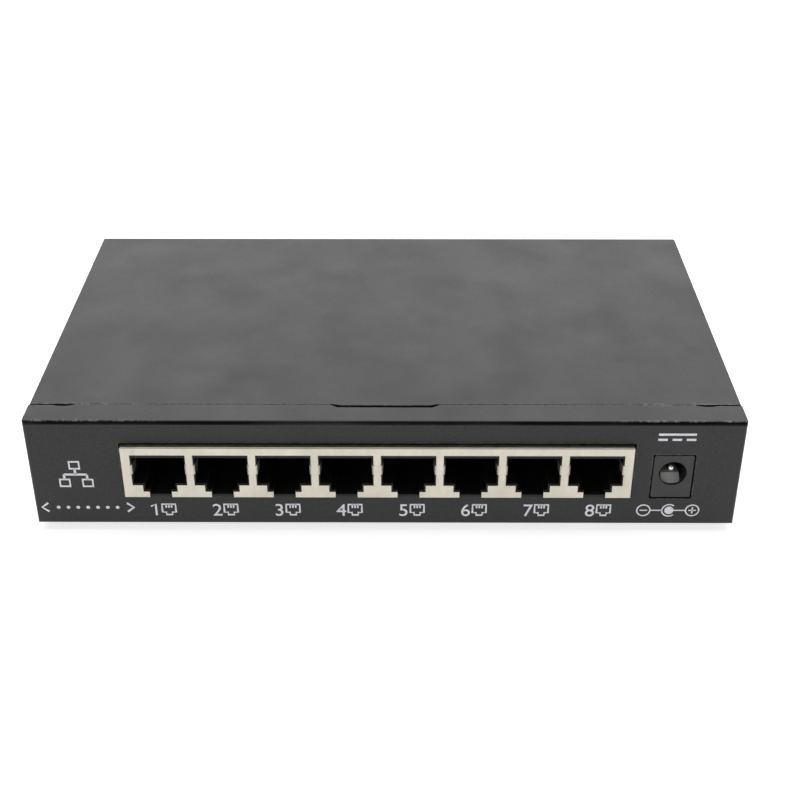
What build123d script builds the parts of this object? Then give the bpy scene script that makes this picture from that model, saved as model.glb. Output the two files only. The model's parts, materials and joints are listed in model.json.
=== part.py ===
from build123d import *
import math
import os

# Desktop network switch: a folded steel case, one circuit board, a ganged block of eight
# 8P8C (RJ45) jacks, a DC power jack, and a row of indicator lamps on the opposite panel.
#
# Everything is modelled in case coordinates: X across, Y back from the outer face of the
# port panel, Z up from the underside of the case. save() then moves each shape so that the
# origin lies under the middle of the whole object, on the surface that the feet stand on.

# ---------------------------------------------------------------- driving dimensions, mm
CASE_WIDTH = 160.0
CASE_DEPTH = 95.3
CASE_HEIGHT = 27.8  # without the feet
SHEET = 0.8  # steel thickness
BEND = 0.6  # outer radius of a fold; the inside is sharp
FOOT_HEIGHT = 2.0
FOOT_RADIUS = 5.0
GAP = 0.1  # between sheets that lie on each other
CLEAR = 0.05  # between pieces set into each other
MERGE = 0.2  # overlap of shapes that are joined
HAIR = 0.02  # between pieces pressed or soldered together
OVER = 1.0  # how far a cutter runs past a face

LIP_DEPTH = 7.2  # top and side returns of the port panel
SEAM = 0.2  # between the lip and the cover's front edge

PORT_COUNT = 8
PORT_PITCH = 14.0
PORT_BLOCK_X = -1.7  # middle of the ganged jack
SHIELD_WIDTH = 114.6
SHIELD_BOTTOM = 8.3
SHIELD_TOP = 21.7
SHIELD_PROUD = 1.25  # how far the jack stands out of the panel
SHIELD_SHEET = 0.25
SHIELD_FOLD = 0.4  # outer radius
SHIELD_BACK = 15.8
CUTOUT_GAP = 0.35
CUTOUT_GAP_ABOVE = 0.4

BOARD_TOP = 7.6
BOARD_THICKNESS = 1.6
BOARD_HALF_WIDTH = 70.0
BOARD_FRONT = 2.0
BOARD_BACK = 90.0

JACK_X = 64.75  # axis of the DC jack
JACK_AXIS_Z = BOARD_TOP + 6.45
JACK_WIDTH = 8.9
JACK_HEIGHT = 11.25
JACK_FRONT = 0.15
JACK_LENGTH = 14.3
JACK_BORE = 3.15  # radius, takes a 5.5 mm plug
JACK_PIN = 1.0  # radius

LAMP_PITCH = 8.0
LAMP_X = [LAMP_PITCH * (i - 3.5) for i in range(PORT_COUNT)] + [44.0]
LAMP_Z = 13.2
LAMP_RADIUS = 1.5
LAMP_PROUD = 0.75
LAMP_LENGTH = 5.3
LAMP_CLEARANCE = 0.15

SCREW_SHANK = 1.45  # M3
SCREW_HOLE = 1.55
HEAD_RADIUS = 2.8
SCREW_CLEARANCE = 0.15

# ---------------------------------------------------------------- derived places
BOARD_BOTTOM = BOARD_TOP - BOARD_THICKNESS
COVER_FRONT = LIP_DEPTH + SEAM
COVER_BOTTOM = SHEET + GAP
UNDER_COVER = CASE_HEIGHT - SHEET - GAP  # top of what lies under the cover's sheet
HALF_WIDTH = CASE_WIDTH / 2
SHIELD_LEFT = PORT_BLOCK_X - SHIELD_WIDTH / 2
SHIELD_RIGHT = PORT_BLOCK_X + SHIELD_WIDTH / 2
PORT_X = [PORT_BLOCK_X + PORT_PITCH * (i - (PORT_COUNT - 1) / 2) for i in range(PORT_COUNT)]
LAMP_BACK = CASE_DEPTH + LAMP_PROUD - LAMP_LENGTH  # rear face of a lamp's flange

COVER_SCREWS = [(sx * 75.0, y) for sx in (-1, 1) for y in (18.0, 77.0)]
STANDOFFS = [(sx * 65.5, y) for sx in (-1, 1) for y in (21.0, 82.0)]
FEET = [(sx * 70.0, y) for sx in (-1, 1) for y in (9.0, CASE_DEPTH - 9.0)]
KEYHOLE_X = 50.0
KEYHOLE_Y = 46.0
KEYHOLE_RADIUS = 4.0
KEYHOLE_SLOT = 4.2  # width

Y_SHIFT = -(CASE_DEPTH + LAMP_PROUD - SHIELD_PROUD) / 2


# ---------------------------------------------------------------- helpers
def block(x0, x1, y0, y1, z0, z1):
    """A box between two corners."""
    size = (x1 - x0, y1 - y0, z1 - z0)
    return Pos((x0 + x1) / 2, (y0 + y1) / 2, (z0 + z1) / 2) * Box(*size)


def post(x, y, radius, z0, z1):
    """An upright cylinder."""
    return Pos(x, y, (z0 + z1) / 2) * Cylinder(radius, z1 - z0)


def rod_y(x, z, radius, y0, y1):
    """A cylinder along Y."""
    return Pos(x, (y0 + y1) / 2, z) * Rot(90, 0, 0) * Cylinder(radius, y1 - y0)


def prism_z(points, z0, z1):
    """An outline in X and Y, raised from z0 to z1."""
    face = make_face(Polyline(*points, close=True))
    return Pos(0, 0, z0) * extrude(face, z1 - z0, dir=(0, 0, 1))


def prism_x(points, x0, x1):
    """An outline in Y and Z, carried from x0 to x1."""
    face = make_face(Plane.YZ * Polyline(*points, close=True))
    return Pos(x0, 0, 0) * extrude(face, x1 - x0, dir=(1, 0, 0))


def prism_y(points, y0, y1):
    """An outline in X and Z, carried from y0 to y1."""
    flat = [(x, 0, z) for x, z in points]
    face = make_face(Polyline(*flat, close=True))
    return Pos(0, y0, 0) * extrude(face, y1 - y0, dir=(0, 1, 0))


def edges_at(shape, axis, **at):
    """The straight edges along an axis whose middle lies at the given coordinates."""
    found = shape.edges().filter_by(axis)
    for name, value in at.items():
        found = found.filter_by(lambda e: abs(getattr(e.center(), name) - value) < 1e-4)
    return found


def bent_tray(x0, x1, y0, y1, z0, z1, wall, radius, picks):
    """A closed shell of sheet, rounded outside along the picked edges of the box."""
    outer = block(x0, x1, y0, y1, z0, z1)
    corners = dict(x0=x0, x1=x1, y0=y0, y1=y1, z0=z0, z1=z1)
    chosen = []
    for axis, sides in picks:
        chosen += edges_at(outer, axis, **{side[0].upper(): corners[side] for side in sides})
    inner = block(x0 + wall, x1 - wall, y0 + wall, y1 - wall, z0 + wall, z1 - wall)
    return fillet(chosen, radius) - inner


def save(name, shapes):
    """Moves a shape, or a list of them, into the object's frame and writes its file."""
    shapes = shapes if isinstance(shapes, (list, tuple)) else [shapes]
    solids = [s for shape in shapes for s in shape.solids()]
    placed = [Pos(0, Y_SHIFT, FOOT_HEIGHT) * s for s in solids]
    export_step(placed[0] if len(placed) == 1 else Compound(placed), f"parts/{name}.step")


# ---------------------------------------------------------------- case
LIP_TONGUE = 10.6  # half width of the cover's tongue and the tab under it
LIP_NOTCH = 12.5  # half width of the notch round it
LIP_NOTCH_Y = 6.0
TONGUE_Y = 6.95
CORNER_TAB_X = 72.4
CORNER_LIP_Y = 6.85
CORNER_NOTCH_DEPTH = 0.45
CORNER_NOTCH_HALF = 2.3
CORNER_SLIT = 0.15  # between the lip and each side return
SLIT_REACH = 0.5  # how far the slit runs in under the lip
TAB_ROOT_Y = 4.6
TONGUE_TAB_LENGTH = 7.0
CORNER_TAB_LENGTH = 5.0
FLANGE_DEPTH = 6.0  # of the lamp panel's top flange
FLANGE_INSET = 2.0
KEYHOLE_LENGTH = 9.0


def lip_edge_cuts():
    """What the rear edge of the port panel's top lip is cut back by."""
    z0, z1 = UNDER_COVER, CASE_HEIGHT + OVER
    far = LIP_DEPTH + OVER
    slant = (LIP_NOTCH - LIP_TONGUE) / (LIP_DEPTH - LIP_NOTCH_Y)
    wide = LIP_TONGUE + slant * (far - LIP_NOTCH_Y)
    middle = [(-LIP_TONGUE, LIP_NOTCH_Y), (LIP_TONGUE, LIP_NOTCH_Y), (wide, far), (-wide, far)]
    cuts = [prism_z(middle, z0, z1)]
    depth, half = CORNER_NOTCH_DEPTH, CORNER_NOTCH_HALF
    radius = (half**2 + depth**2) / (2 * depth)
    inner = CORNER_TAB_X - half
    for side in (-1, 1):
        x0, x1 = sorted((side * inner, side * (HALF_WIDTH + OVER)))
        cuts.append(block(x0, x1, CORNER_LIP_Y, far, z0, z1))
        cuts.append(post(side * CORNER_TAB_X, CORNER_LIP_Y - depth + radius, radius, z0, z1))
    return cuts


def lip_tab(x, half, length):
    """A tab pressed down out of the lip, which the cover's front edge rests on."""
    low, neck = UNDER_COVER - SHEET, LIP_NOTCH_Y
    joint = block(x - half, x + half, TAB_ROOT_Y, neck, low, CASE_HEIGHT - SHEET)
    return joint + block(x - half, x + half, neck, neck + length, low, UNDER_COVER)


def keyhole(x):
    """Cutter for a wall-mounting keyhole in the floor."""
    slot_end = KEYHOLE_Y + KEYHOLE_LENGTH
    half = KEYHOLE_SLOT / 2
    neck = block(x - half, x + half, KEYHOLE_Y, slot_end, -OVER, SHEET + OVER)
    return [
        post(x, KEYHOLE_Y, KEYHOLE_RADIUS, -OVER, SHEET + OVER),
        neck,
        post(x, slot_end, half, -OVER, SHEET + OVER),
    ]


def make_chassis():
    """Floor, port panel with its lip and side returns, and lamp panel, folded from one sheet."""
    picks = [
        (Axis.X, ("y0", "z1")),
        (Axis.X, ("y0", "z0")),
        (Axis.X, ("y1", "z0")),
        (Axis.Z, ("x0", "y0")),
        (Axis.Z, ("x1", "y0")),
    ]
    shell = bent_tray(
        -HALF_WIDTH, HALF_WIDTH, 0, CASE_DEPTH, 0, CASE_HEIGHT, SHEET, BEND, picks
    )
    wide = HALF_WIDTH + OVER
    back = CASE_DEPTH - SHEET
    shell -= block(-wide, wide, LIP_DEPTH, back, SHEET, CASE_HEIGHT + OVER)
    shell -= block(-wide, wide, back - OVER, CASE_DEPTH + OVER, UNDER_COVER, CASE_HEIGHT + OVER)
    shell += lip_tab(0, LIP_TONGUE - GAP, TONGUE_TAB_LENGTH)
    for side in (-1, 1):
        shell += lip_tab(side * CORNER_TAB_X, CORNER_NOTCH_HALF - GAP, CORNER_TAB_LENGTH)
        x0, x1 = sorted((side * (HALF_WIDTH - SHEET - SLIT_REACH), side * wide))
        top = CASE_HEIGHT - SHEET
        shell -= block(x0, x1, BEND, LIP_DEPTH + OVER, top - CORNER_SLIT, top)
    half = HALF_WIDTH - SHEET - FLANGE_INSET
    shell += block(-half, half, back - FLANGE_DEPTH, back, UNDER_COVER - SHEET, UNDER_COVER)
    cuts = lip_edge_cuts()
    cuts.append(
        block(
            SHIELD_LEFT - CUTOUT_GAP,
            SHIELD_RIGHT + CUTOUT_GAP,
            -OVER,
            SHEET + OVER,
            SHIELD_BOTTOM - CUTOUT_GAP,
            SHIELD_TOP + CUTOUT_GAP_ABOVE,
        )
    )
    half = JACK_WIDTH / 2 + CUTOUT_GAP
    top = BOARD_TOP + JACK_HEIGHT + CUTOUT_GAP
    low = BOARD_TOP - CUTOUT_GAP
    cuts.append(block(JACK_X - half, JACK_X + half, -OVER, SHEET + OVER, low, top))
    for x, y in COVER_SCREWS:
        cuts.append(post(x, y, SCREW_HOLE + SCREW_CLEARANCE, -OVER, SHEET + OVER))
    for x, y in STANDOFFS:
        cuts.append(post(x, y, STANDOFF_SHANK + HAIR, -OVER, SHEET + OVER))
    for side in (-1, 1):
        cuts += keyhole(side * KEYHOLE_X)
    for x in LAMP_X:
        cuts.append(rod_y(x, LAMP_Z, LAMP_RADIUS + LAMP_CLEARANCE, back - OVER, CASE_DEPTH + OVER))
    for cut in cuts:
        shell -= cut
    return shell


EAR_LENGTH = 14.0
EAR_WIDTH = 8.5
VENT_COUNT = 15
VENT_PITCH = 4.0
VENT_WIDTH = 1.8
VENT_HEIGHT = 9.0
VENT_Z = 15.0
BOSS_RADIUS = 2.6  # round each cover screw
BOSS_HEIGHT = 1.6
TONGUE_TAPER = 0.3
TONGUE_FLARE = 1.0


def vent_slot(side, y):
    """Cutter for one round-ended upright vent slot in a side wall."""
    x0, x1 = sorted((side * (HALF_WIDTH - SHEET - OVER), side * (HALF_WIDTH + OVER)))
    reach = VENT_HEIGHT / 2 - VENT_WIDTH / 2
    half = VENT_WIDTH / 2
    middle = block(x0, x1, y - half, y + half, VENT_Z - reach, VENT_Z + reach)
    ends = [
        Pos((x0 + x1) / 2, y, VENT_Z + s * reach) * Rot(0, 90, 0) * Cylinder(half, x1 - x0)
        for s in (-1, 1)
    ]
    return middle + ends[0] + ends[1]


def make_cover():
    """Top and two sides in one sheet, with an inward ear at each screw."""
    wall = HALF_WIDTH - SHEET
    outer = block(-HALF_WIDTH, HALF_WIDTH, COVER_FRONT, CASE_DEPTH, COVER_BOTTOM, CASE_HEIGHT)
    inner = block(-wall, wall, COVER_FRONT - OVER, CASE_DEPTH + OVER, -OVER, CASE_HEIGHT - SHEET)
    folds = edges_at(outer, Axis.Y, X=-HALF_WIDTH, Z=CASE_HEIGHT)
    folds += edges_at(outer, Axis.Y, X=HALF_WIDTH, Z=CASE_HEIGHT)
    outer = fillet(folds, BEND)
    cover = outer - inner
    wide = HALF_WIDTH + OVER
    side_end = CASE_DEPTH - SHEET - SEAM
    cover -= block(-wide, wide, side_end, CASE_DEPTH + OVER, 0, CASE_HEIGHT - SHEET)
    root = LIP_TONGUE + TONGUE_FLARE
    tip = LIP_TONGUE - TONGUE_TAPER
    tongue = [
        (-tip, TONGUE_Y),
        (tip, TONGUE_Y),
        (root, COVER_FRONT + MERGE),
        (-root, COVER_FRONT + MERGE),
    ]
    cover += prism_z(tongue, CASE_HEIGHT - SHEET, CASE_HEIGHT)
    for x, y in COVER_SCREWS:
        side = math.copysign(1, x)
        x0, x1 = sorted((side * (wall - EAR_WIDTH), side * (wall + MERGE)))
        half = EAR_LENGTH / 2
        ear = block(x0, x1, y - half, y + half, COVER_BOTTOM, COVER_BOTTOM + SHEET)
        cover += ear + post(x, y, BOSS_RADIUS, COVER_BOTTOM, COVER_BOTTOM + SHEET + BOSS_HEIGHT)
    for x, y in COVER_SCREWS:
        cover -= post(x, y, SCREW_HOLE, 0, COVER_BOTTOM + SHEET + BOSS_HEIGHT + OVER)
    middle = (COVER_FRONT + side_end) / 2
    for i in range(VENT_COUNT):
        y = middle + VENT_PITCH * (i - (VENT_COUNT - 1) / 2)
        cover -= vent_slot(-1, y)
        cover -= vent_slot(1, y)
    return cover


RECESS_LENGTH = 3.08
RECESS_WIDTH = 0.55
RECESS_DEPTH = 0.5
SHANK_CHAMFER = 0.4
COVER_HEAD_HEIGHT = 1.3
COVER_SCREW_LENGTH = 4.6
BOARD_HEAD_HEIGHT = 1.8
BOARD_SCREW_LENGTH = 5.5
FOOT_EASE = 0.5


def pan_head(x, y, seat, direction, head_height, length):
    """A screw whose head sits on the plane seat and stands out in the given Z direction."""
    head = Cylinder(HEAD_RADIUS, head_height)
    top = head.edges().filter_by(GeomType.CIRCLE).sort_by(Axis.Z)[-1]
    head = fillet(top, head_height * 0.45)
    for angle in (0, 90):
        recess = Box(RECESS_LENGTH, RECESS_WIDTH, 2 * RECESS_DEPTH)
        head -= Pos(0, 0, head_height / 2) * Rot(0, 0, angle) * recess
    shank = chamfer(Cylinder(SCREW_SHANK, length).edges().sort_by(Axis.Z)[0], SHANK_CHAMFER)
    screw = Pos(0, 0, head_height / 2) * head + Pos(0, 0, -length / 2) * shank
    turn = Rot(0, 0, 0) if direction > 0 else Rot(180, 0, 0)
    return Pos(x, y, seat) * turn * screw


def make_feet():
    feet = []
    for x, y in FEET:
        foot = Cylinder(FOOT_RADIUS, FOOT_HEIGHT)
        foot = fillet(foot.edges().sort_by(Axis.Z)[0], FOOT_EASE)
        feet.append(Pos(x, y, -FOOT_HEIGHT / 2) * foot)
    return feet


STANDOFF_SHANK = 2.1
STANDOFF_RADIUS = 2.75


def make_standoffs():
    """Self-clinching pillars, flush under the floor."""
    made = []
    for x, y in STANDOFFS:
        pillar = post(x, y, STANDOFF_RADIUS, SHEET, BOARD_BOTTOM)
        pillar += post(x, y, STANDOFF_SHANK, 0, SHEET)
        made.append(pillar - post(x, y, SCREW_HOLE, -OVER, BOARD_TOP))
    return made


# ---------------------------------------------------------------- ganged port jack
OPEN_HALF = 6.17  # half width of an opening in the shield
OPEN_TOP = 19.65
STEP_Z = 11.55  # bottom of the wide part
LATCH_Z = 9.8  # bottom of the latch step
STEP_HALF = 3.88
SLOT_HALF = 2.5

CAVITY_HALF = 5.9  # moulded cavity, for a plug 11.7 mm wide
CAVITY_TOP = 18.8
CAVITY_STEP_Z = 11.9
CAVITY_LATCH_Z = 10.15
CAVITY_SLOT_Z = 8.95
CAVITY_STEP_HALF = 3.5
CAVITY_SLOT_HALF = 2.4
CAVITY_DEPTH = 12.4

HOUSING_FRONT = -SHIELD_PROUD + SHIELD_SHEET + CLEAR
HOUSING_BACK = SHIELD_BACK - SHIELD_SHEET - CLEAR
HOUSING_BOTTOM = SHIELD_BOTTOM + CLEAR
HOUSING_TOP = SHIELD_TOP - SHIELD_SHEET - CLEAR
HOUSING_HALF = PORT_PITCH / 2 - CLEAR

FINGER_Z = (14.45, 16.95)
FINGER_SHEET = 0.2
FINGER_LINE = [(0.0, 0.0), (0.3, 0.3), (0.55, 2.6), (0.35, 4.4)]  # inward, and back from the shield's front
FINGER_STEP = 0.02  # between the two faces' ends, so that no edge has zero length
RELIEF_HALF = 0.12  # half width of the slit over and under a finger
RELIEF_OUT = 0.1  # its middle, past the opening's edge
FINGER_POCKET = 0.3  # depth of the housing's pocket behind a finger
FINGER_CLEAR = 0.2
FINGER_POCKET_BACK = 4.6

CONTACT_COUNT = 8
CONTACT_PITCH = 1.02
CONTACT_RADIUS = 0.2
CONTACT_ROOT = (3.4, 18.7)  # Y and Z of the fixed end of a contact spring
CONTACT_TIP = (11.6, 15.6)
PIN_RADIUS = 0.22
PIN_ROWS = (13.0, 15.0)
PIN_END = BOARD_BOTTOM - 1.0

CARRIER_HALF = 5.4
CARRIER_FRONT = 3.0
CARRIER_WALL_Y = 12.5
CARRIER_BAR_Z = 19.05
CARRIER_TOP = 20.6

SHIELD_TAILS_X = [PORT_BLOCK_X + PORT_PITCH * k for k in (-3, -1, 1, 3)]
SHIELD_TAIL_HALF = 0.8
TAIL_MERGE = 0.5
POST_LENGTH = 0.6  # of a locating post, under the board
LOCATING_POSTS = [PORT_X[0], PORT_X[-1]]
LOCATING_Y = 8.0
LOCATING_RADIUS = 1.6


def port_outline(x, half, top, step, step_half, latch, slot_half, bottom):
    """The stepped opening of a jack whose latch is at the bottom."""
    right = [
        (half, top),
        (half, step),
        (step_half, step),
        (step_half, latch),
        (slot_half, latch),
        (slot_half, bottom),
    ]
    left = [(-a, z) for a, z in reversed(right)]
    return [(x + a, z) for a, z in right + left]


def spring_finger(x, side):
    """A grounding finger that bends from the shield's front into a port."""
    edge = x + side * OPEN_HALF
    front = -SHIELD_PROUD
    inward = -side
    near = [(edge + inward * a, front + b) for a, b in FINGER_LINE]
    far = [(a + side * FINGER_SHEET, b + FINGER_STEP) for a, b in reversed(near)]
    return prism_z(near + far, *FINGER_Z)


def make_shield():
    """Plated shell round the ganged jack, with its openings, fingers and solder tails."""
    picks = [
        (Axis.X, ("y0", "z1")),
        (Axis.X, ("y1", "z1")),
        (Axis.Z, ("x0", "y0")),
        (Axis.Z, ("x1", "y0")),
        (Axis.Y, ("x0", "z1")),
        (Axis.Y, ("x1", "z1")),
    ]
    shell = bent_tray(
        SHIELD_LEFT,
        SHIELD_RIGHT,
        -SHIELD_PROUD,
        SHIELD_BACK,
        SHIELD_BOTTOM,
        SHIELD_TOP,
        SHIELD_SHEET,
        SHIELD_FOLD,
        picks,
    )
    inside = SHIELD_SHEET
    front = -SHIELD_PROUD
    shell -= block(
        SHIELD_LEFT + inside,
        SHIELD_RIGHT - inside,
        -SHIELD_PROUD + inside,
        SHIELD_BACK - inside,
        SHIELD_BOTTOM - OVER,
        SHIELD_BOTTOM + OVER,
    )
    for x in PORT_X:
        outline = port_outline(
            x, OPEN_HALF, OPEN_TOP, STEP_Z, STEP_HALF, LATCH_Z, SLOT_HALF, SHIELD_BOTTOM - OVER
        )
        shell -= prism_y(outline, front - OVER, front + SHIELD_SHEET + MERGE)
        for side in (-1, 1):
            slit_x = x + side * (OPEN_HALF + RELIEF_OUT)
            for z in FINGER_Z:
                x0, x1 = slit_x - RELIEF_HALF, slit_x + RELIEF_HALF
                shell -= block(x0, x1, front - OVER, 0, z - RELIEF_HALF, z + RELIEF_HALF)
            shell += spring_finger(x, side)
    tail_front = SHIELD_BACK - SHIELD_SHEET
    for x in SHIELD_TAILS_X:
        half = SHIELD_TAIL_HALF
        shell += block(x - half, x + half, tail_front, SHIELD_BACK, PIN_END, SHIELD_BOTTOM + TAIL_MERGE)
    return shell


def make_housings():
    """Eight mouldings side by side, each with one plug cavity, open at the back and along the top."""
    made = []
    for x in PORT_X:
        x0, x1 = x - HOUSING_HALF, x + HOUSING_HALF
        body = block(x0, x1, HOUSING_FRONT, HOUSING_BACK, HOUSING_BOTTOM, HOUSING_TOP)
        outline = port_outline(
            x,
            CAVITY_HALF,
            CAVITY_TOP,
            CAVITY_STEP_Z,
            CAVITY_STEP_HALF,
            CAVITY_LATCH_Z,
            CAVITY_SLOT_HALF,
            CAVITY_SLOT_Z,
        )
        body -= prism_y(outline, HOUSING_FRONT - OVER, CAVITY_DEPTH)
        half = CARRIER_HALF + CLEAR
        back, top = HOUSING_BACK + OVER, CARRIER_TOP + CLEAR
        body -= block(x - half, x + half, CARRIER_FRONT - GAP, back, CAVITY_TOP - MERGE, top)
        body -= block(x - half, x + half, CAVITY_DEPTH - GAP, back, HOUSING_BOTTOM - OVER, top)
        pocket = OPEN_HALF + FINGER_POCKET
        low, high = FINGER_Z[0] - FINGER_CLEAR, FINGER_Z[1] + FINGER_CLEAR
        body -= block(x - pocket, x + pocket, HOUSING_FRONT - OVER, FINGER_POCKET_BACK, low, high)
        if x in LOCATING_POSTS:
            end, root = BOARD_BOTTOM - POST_LENGTH, HOUSING_BOTTOM + MERGE
            body += post(x, LOCATING_Y, LOCATING_RADIUS, end, root)
        made.append(body)
    return made


def make_carriers():
    """The block behind each cavity that the contacts' solder pins come out of."""
    half = CARRIER_HALF
    back = HOUSING_BACK - CLEAR
    return [
        block(x - half, x + half, CARRIER_WALL_Y, back, HOUSING_BOTTOM, CARRIER_TOP) for x in PORT_X
    ]


def make_combs():
    """The bar over each cavity that the contacts are rooted under."""
    half = CARRIER_HALF
    back = CARRIER_WALL_Y - CLEAR
    return [
        block(x - half, x + half, CARRIER_FRONT, back, CARRIER_BAR_Z, CARRIER_TOP) for x in PORT_X
    ]


def make_contacts(x):
    """The eight spring wires of one port, sloping down from the front to the back."""
    wires = []
    (y0, z0), (y1, z1) = CONTACT_ROOT, CONTACT_TIP
    length = math.hypot(y1 - y0, z1 - z0)
    slope = math.degrees(math.atan2(z0 - z1, y1 - y0))
    for i in range(CONTACT_COUNT):
        at = x + CONTACT_PITCH * (i - (CONTACT_COUNT - 1) / 2)
        wire = Cylinder(CONTACT_RADIUS, length) + Pos(0, 0, length / 2) * Sphere(CONTACT_RADIUS)
        wire += Pos(0, 0, -length / 2) * Sphere(CONTACT_RADIUS)
        middle = Pos(at, (y0 + y1) / 2, (z0 + z1) / 2)
        wires.append(middle * Rot(-90 - slope, 0, 0) * wire)
    return wires


def contact_pins():
    """Places of the solder pins: eight to a port in two staggered rows."""
    places = []
    for x in PORT_X:
        for i in range(CONTACT_COUNT):
            at = x + CONTACT_PITCH * (i - (CONTACT_COUNT - 1) / 2)
            places.append((at, PIN_ROWS[i % 2]))
    return places


# ---------------------------------------------------------------- DC power jack
BORE_END = 9.6
JACK_EASE = 0.5
JACK_STEP_Y = 11.6  # behind it the body is lower
JACK_STEP_HEIGHT = 8.6
LEAF_HALF = 2.1
LEAF_ROOT_Y = 10.4
LEAF_ROOT_HEIGHT = 3.0  # over the board, as are the two below
LEAF_HUMP_HEIGHT = 4.5
LEAF_TIP_HEIGHT = 3.2
LEAF_HUMP_Y = (3.6, 4.6)
LEAF_TIP_Y = 1.2
LEAF_SHEET = 0.25
LEAF_ROOM = 0.15  # beside the leaf
LEAF_SLOT_FRONT = 0.7
LEAF_SLOT_FLOOR = 1.7
STRAP_Y = LEAF_ROOT_Y + 0.35
STRAP_HALF = 0.15  # half thickness
STRAP_ROOM = (0.3, 0.35)  # in front and behind
STRAP_SLOT_TOP = 2.4
PIN_TIP_Y = 2.0
TERMINAL_HALF = 1.1
TERMINAL_SHEET = 0.4
TERMINAL_TOP = 1.2  # over the pin's axis
SIDE_TERMINAL_Y = (5.5, 7.5)
SIDE_TERMINAL_SHEET = 0.3
SIDE_TERMINAL_HEIGHT = 6.0


def make_jack_body():
    bottom, top = BOARD_TOP, BOARD_TOP + JACK_HEIGHT
    half = JACK_WIDTH / 2
    back = JACK_FRONT + JACK_LENGTH
    body = block(JACK_X - half, JACK_X + half, JACK_FRONT, back, bottom, top)
    body = fillet(edges_at(body, Axis.Y, Z=top), JACK_EASE)
    x0, x1 = JACK_X - half - OVER, JACK_X + half + OVER
    body -= block(x0, x1, JACK_STEP_Y, back + OVER, bottom + JACK_STEP_HEIGHT, top + OVER)
    body -= rod_y(JACK_X, JACK_AXIS_Z, JACK_BORE, JACK_FRONT - OVER, BORE_END)
    body -= rod_y(JACK_X, JACK_AXIS_Z, JACK_PIN + HAIR, BORE_END - OVER, back + OVER)
    x0, x1 = JACK_X - LEAF_HALF - LEAF_ROOM, JACK_X + LEAF_HALF + LEAF_ROOM
    y0, y1 = STRAP_Y - STRAP_ROOM[0], STRAP_Y + STRAP_ROOM[1]
    slot_top = JACK_AXIS_Z - JACK_BORE + OVER
    body -= block(x0, x1, JACK_FRONT + LEAF_SLOT_FRONT, y1, bottom + LEAF_SLOT_FLOOR, slot_top)
    body -= block(x0, x1, y0, y1, bottom - OVER, bottom + STRAP_SLOT_TOP)
    return body


def make_jack_pin():
    """Centre pin with its solder terminal behind the body."""
    back = JACK_FRONT + JACK_LENGTH
    dome = PIN_TIP_Y + JACK_PIN
    pin = rod_y(JACK_X, JACK_AXIS_Z, JACK_PIN, dome, back + MERGE)
    pin += Pos(JACK_X, dome, JACK_AXIS_Z) * Sphere(JACK_PIN)
    x0, x1 = JACK_X - TERMINAL_HALF, JACK_X + TERMINAL_HALF
    y0 = back + HAIR
    return pin + block(x0, x1, y0, y0 + TERMINAL_SHEET, PIN_END, JACK_AXIS_Z + TERMINAL_TOP)


def make_jack_spring():
    """Sleeve contact: a leaf in the floor of the bore, kinked up where the plug rides on it."""
    upper = [
        (LEAF_ROOT_Y, BOARD_TOP + LEAF_ROOT_HEIGHT + LEAF_SHEET),
        (LEAF_HUMP_Y[1], BOARD_TOP + LEAF_HUMP_HEIGHT - CLEAR),
        (LEAF_HUMP_Y[0], BOARD_TOP + LEAF_HUMP_HEIGHT),
        (LEAF_TIP_Y, BOARD_TOP + LEAF_TIP_HEIGHT),
    ]
    lower = [(y, z - LEAF_SHEET) for y, z in reversed(upper)]
    return prism_x(upper + lower, JACK_X - LEAF_HALF, JACK_X + LEAF_HALF)


def make_jack_terminals():
    """Strap that carries the leaf, and the side terminal."""
    x0, x1 = JACK_X - LEAF_HALF, JACK_X + LEAF_HALF
    top = BOARD_TOP + LEAF_ROOT_HEIGHT + LEAF_SHEET
    strap = block(x0, x1, STRAP_Y - STRAP_HALF, STRAP_Y + STRAP_HALF, PIN_END, top)
    side = JACK_X - JACK_WIDTH / 2 - CLEAR
    y0, y1 = SIDE_TERMINAL_Y
    top = BOARD_TOP + SIDE_TERMINAL_HEIGHT
    return [strap, block(side - SIDE_TERMINAL_SHEET, side, y0, y1, PIN_END, top)]


# ---------------------------------------------------------------- board and its parts
TRANSFORMER = (7.1, 15.2, 5.8)
TRANSFORMER_Y = 29.0
TRANSFORMER_LIFT = 0.15
TRANSFORMER_EASE = 0.4
DOT_OFFSET = (2.4, 6.4)  # of the pin-1 dot, from the middle
DOT_RADIUS = 0.5
DOT_DEPTH = 0.2
CHIP_X, CHIP_Y = -8.0, 60.0
CHIP_SIDE = 20.0
CHIP_PINS = 28  # to a side
CHIP_PITCH = 0.65
CHIP_HEIGHT = 1.4
CHIP_LIFT = 0.1
CHIP_EASE = 0.15
CHIP_LEAD_REACH = 1.0
CHIP_LEAD_RISE = 0.6
CHIP_LEAD_SHEET = 0.13
CHIP_LEAD_WIDTH = 0.25
WIDE_PITCH = 1.27  # of the small packages and the transformers
WIDE_LEAD = 0.4
PAD_HALF = 9.0
PAD_THICKNESS = 0.3
SMALL_CHIPS = {"flash_chip": [(22.0, 66.0)], "voltage_regulators": [(48.0, 44.0), (48.0, 56.0)]}
SMALL_CHIP = (3.9, 4.9, 1.5)
CAN_PLACES = [(60.0, 30.0), (60.0, 40.0), (36.0, 80.0)]
INDUCTORS = [(58.0, 52.0), (58.0, 64.0)]
SAFETY_CAPACITORS = [(-64.0, 34.0), (-64.0, 48.0)]
HOLDER_FRONT = LAMP_BACK - CLEAR
HOLDER_DEPTH = 4.7
LEAD_Y = HOLDER_FRONT - 2.9
LEAD_HALF_SPACE = 1.27
LEAD_HALF = 0.25
LEAD_DRILL = 0.45  # radius
BOARD_CORNER = 1.5
DRILL_ROOM = 0.1  # round a screw or a pin
SLOT_ROOM = 0.15  # round a flat tail
PART_LIFT = 0.05  # of a body over the board, for the solder under it
GULL_SHEET = 0.2


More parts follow.
